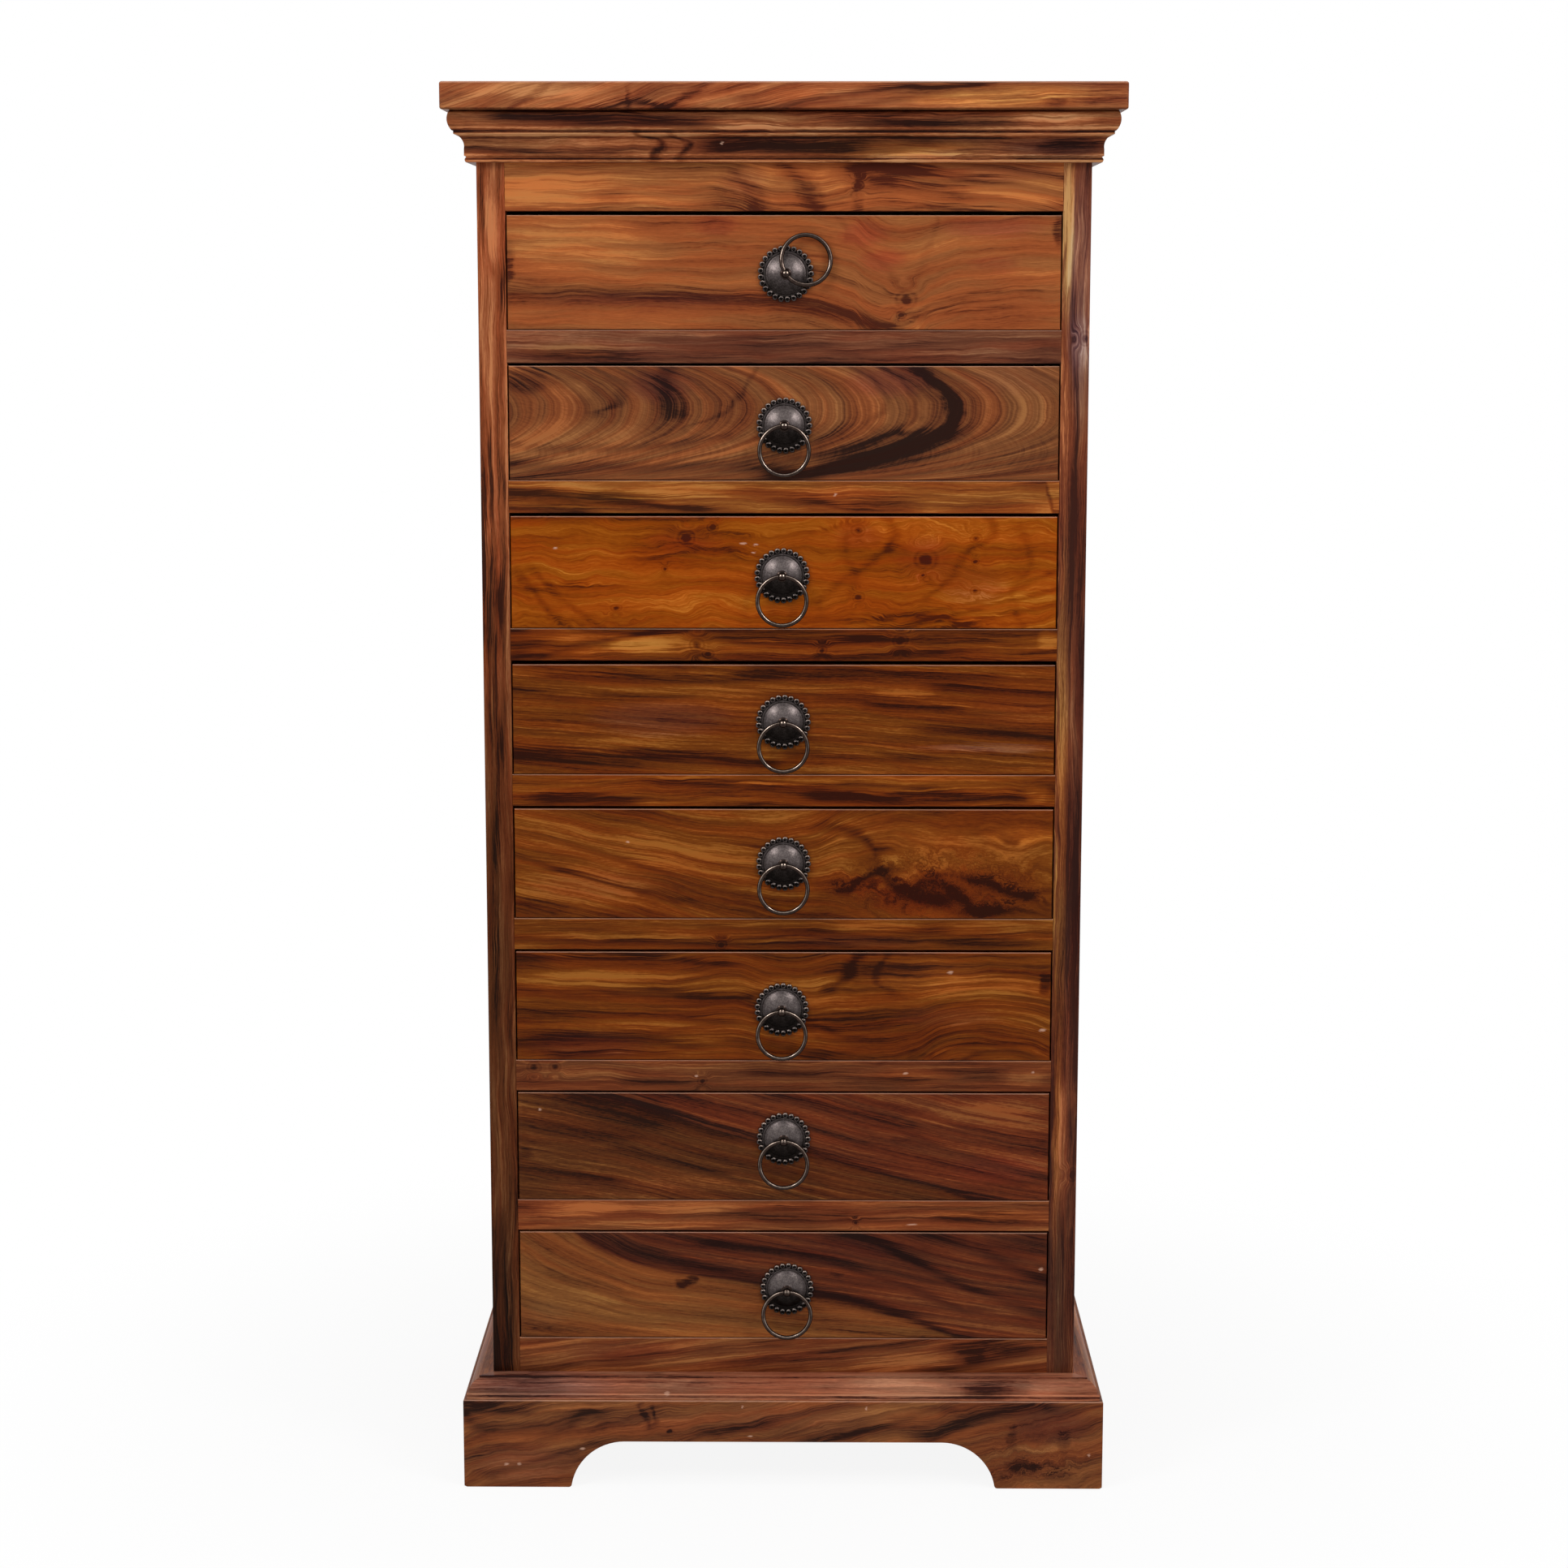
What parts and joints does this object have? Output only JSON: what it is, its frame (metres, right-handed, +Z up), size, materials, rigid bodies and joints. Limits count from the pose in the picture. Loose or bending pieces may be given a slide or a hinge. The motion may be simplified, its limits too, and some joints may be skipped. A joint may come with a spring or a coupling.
{
  "type": "semainier",
  "caption": "Tall narrow hardwood chest with a stack of equal drawers, iron ring pulls, moulded cornice and arched skirt boards.",
  "frame": {"origin": "on the floor, below the middle of the top board's width and depth", "axes": "+Z up, -Y out of the drawer fronts, +X to the right of someone facing the drawers"},
  "size_m": [0.6, 0.4, 1.2835],
  "materials": {
    "show_wood": "satin lacquer on rosewood",
    "inner_wood": "plain sanded wood",
    "iron": "hammered and waxed, worn bright on edges"
  },
  "bodies": {
    "carcass": {"top_board": "show_wood", "cornice_front": "show_wood", "cornice_sides": "show_wood", "skirt_front": "show_wood", "skirt_sides": "show_wood", "base_moulding_front": "show_wood", "base_moulding_sides": "show_wood", "front_posts": "show_wood", "rear_posts": "show_wood", "base_rail": "show_wood", "frieze_rail": "show_wood", "drawer_rails": "show_wood", "side_rails": "show_wood", "side_panels": "show_wood", "rear_rails": "inner_wood", "back_panel": "inner_wood", "top_blocks": "inner_wood", "drawer_runners": "inner_wood", "drawer_stops": "inner_wood"},
    "drawer_1": {"drawer_1_front": "show_wood", "drawer_1_box": "inner_wood", "drawer_1_rosette": "iron"},
    "eyebolt_1": {"drawer_1_eyebolt": "iron"},
    "ring_1": {"drawer_1_ring": "iron"},
    "drawer_2": {"drawer_2_front": "show_wood", "drawer_2_box": "inner_wood", "drawer_2_rosette": "iron"},
    "eyebolt_2": {"drawer_2_eyebolt": "iron"},
    "ring_2": {"drawer_2_ring": "iron"},
    "drawer_3": {"drawer_3_front": "show_wood", "drawer_3_box": "inner_wood", "drawer_3_rosette": "iron"},
    "eyebolt_3": {"drawer_3_eyebolt": "iron"},
    "ring_3": {"drawer_3_ring": "iron"},
    "drawer_4": {"drawer_4_front": "show_wood", "drawer_4_box": "inner_wood", "drawer_4_rosette": "iron"},
    "eyebolt_4": {"drawer_4_eyebolt": "iron"},
    "ring_4": {"drawer_4_ring": "iron"},
    "drawer_5": {"drawer_5_front": "show_wood", "drawer_5_box": "inner_wood", "drawer_5_rosette": "iron"},
    "eyebolt_5": {"drawer_5_eyebolt": "iron"},
    "ring_5": {"drawer_5_ring": "iron"},
    "drawer_6": {"drawer_6_front": "show_wood", "drawer_6_box": "inner_wood", "drawer_6_rosette": "iron"},
    "eyebolt_6": {"drawer_6_eyebolt": "iron"},
    "ring_6": {"drawer_6_ring": "iron"},
    "drawer_7": {"drawer_7_front": "show_wood", "drawer_7_box": "inner_wood", "drawer_7_rosette": "iron"},
    "eyebolt_7": {"drawer_7_eyebolt": "iron"},
    "ring_7": {"drawer_7_ring": "iron"},
    "drawer_8": {"drawer_8_front": "show_wood", "drawer_8_box": "inner_wood", "drawer_8_rosette": "iron"},
    "eyebolt_8": {"drawer_8_eyebolt": "iron"},
    "ring_8": {"drawer_8_ring": "iron"}
  },
  "joints": [
    {"name": "drawer_1_slide", "type": "slide", "parent": "carcass", "child": "drawer_1", "axis": [0, -1, 0], "range_m": [0, 0.28]},
    {"name": "eyebolt_1_turn", "type": "hinge", "parent": "drawer_1", "child": "eyebolt_1", "pos_m": [0.0018, -0.1715, 1.1184], "axis": [0, -1, 0], "continuous": true},
    {"name": "ring_1_swing", "type": "hinge", "parent": "eyebolt_1", "child": "ring_1", "pos_m": [0.0018, -0.1825, 1.1184], "axis": [0.5592, 0, -0.829], "range_deg": [0, 176]},
    {"name": "drawer_2_slide", "type": "slide", "parent": "carcass", "child": "drawer_2", "axis": [0, -1, 0], "range_m": [0, 0.28]},
    {"name": "eyebolt_2_turn", "type": "hinge", "parent": "drawer_2", "child": "eyebolt_2", "pos_m": [0.0005, -0.1715, 0.9848], "axis": [0, -1, 0], "continuous": true},
    {"name": "ring_2_swing", "type": "hinge", "parent": "eyebolt_2", "child": "ring_2", "pos_m": [0.0005, -0.1825, 0.9848], "axis": [-1, 0, 0], "range_deg": [-11, 165]},
    {"name": "drawer_3_slide", "type": "slide", "parent": "carcass", "child": "drawer_3", "axis": [0, -1, 0], "range_m": [0, 0.28]},
    {"name": "eyebolt_3_turn", "type": "hinge", "parent": "drawer_3", "child": "eyebolt_3", "pos_m": [-0.0014, -0.1715, 0.8506], "axis": [0, -1, 0], "continuous": true},
    {"name": "ring_3_swing", "type": "hinge", "parent": "eyebolt_3", "child": "ring_3", "pos_m": [-0.0014, -0.1825, 0.8506], "axis": [-1, 0, 0], "range_deg": [-11, 165]},
    {"name": "drawer_4_slide", "type": "slide", "parent": "carcass", "child": "drawer_4", "axis": [0, -1, 0], "range_m": [0, 0.28]},
    {"name": "eyebolt_4_turn", "type": "hinge", "parent": "drawer_4", "child": "eyebolt_4", "pos_m": [-0.0003, -0.1715, 0.7178], "axis": [0, -1, 0], "continuous": true},
    {"name": "ring_4_swing", "type": "hinge", "parent": "eyebolt_4", "child": "ring_4", "pos_m": [-0.0003, -0.1825, 0.7178], "axis": [-1, 0, 0], "range_deg": [-11, 165]},
    {"name": "drawer_5_slide", "type": "slide", "parent": "carcass", "child": "drawer_5", "axis": [0, -1, 0], "range_m": [0, 0.28]},
    {"name": "eyebolt_5_turn", "type": "hinge", "parent": "drawer_5", "child": "eyebolt_5", "pos_m": [0, -0.1715, 0.5875], "axis": [0, -1, 0], "continuous": true},
    {"name": "ring_5_swing", "type": "hinge", "parent": "eyebolt_5", "child": "ring_5", "pos_m": [0, -0.1825, 0.5875], "axis": [-1, 0, 0], "range_deg": [-11, 165]},
    {"name": "drawer_6_slide", "type": "slide", "parent": "carcass", "child": "drawer_6", "axis": [0, -1, 0], "range_m": [0, 0.28]},
    {"name": "eyebolt_6_turn", "type": "hinge", "parent": "drawer_6", "child": "eyebolt_6", "pos_m": [-0.0015, -0.1715, 0.4513], "axis": [0, -1, 0], "continuous": true},
    {"name": "ring_6_swing", "type": "hinge", "parent": "eyebolt_6", "child": "ring_6", "pos_m": [-0.0015, -0.1825, 0.4513], "axis": [-1, 0, 0], "range_deg": [-11, 165]},
    {"name": "drawer_7_slide", "type": "slide", "parent": "carcass", "child": "drawer_7", "axis": [0, -1, 0], "range_m": [0, 0.28]},
    {"name": "eyebolt_7_turn", "type": "hinge", "parent": "drawer_7", "child": "eyebolt_7", "pos_m": [0.0003, -0.1715, 0.3288], "axis": [0, -1, 0], "continuous": true},
    {"name": "ring_7_swing", "type": "hinge", "parent": "eyebolt_7", "child": "ring_7", "pos_m": [0.0003, -0.1825, 0.3288], "axis": [-1, 0, 0], "range_deg": [-11, 165]},
    {"name": "drawer_8_slide", "type": "slide", "parent": "carcass", "child": "drawer_8", "axis": [0, -1, 0], "range_m": [0, 0.28]},
    {"name": "eyebolt_8_turn", "type": "hinge", "parent": "drawer_8", "child": "eyebolt_8", "pos_m": [0.0035, -0.1715, 0.1847], "axis": [0, -1, 0], "continuous": true},
    {"name": "ring_8_swing", "type": "hinge", "parent": "eyebolt_8", "child": "ring_8", "pos_m": [0.0035, -0.1825, 0.1847], "axis": [-1, 0, 0], "range_deg": [-11, 165]}
  ]
}
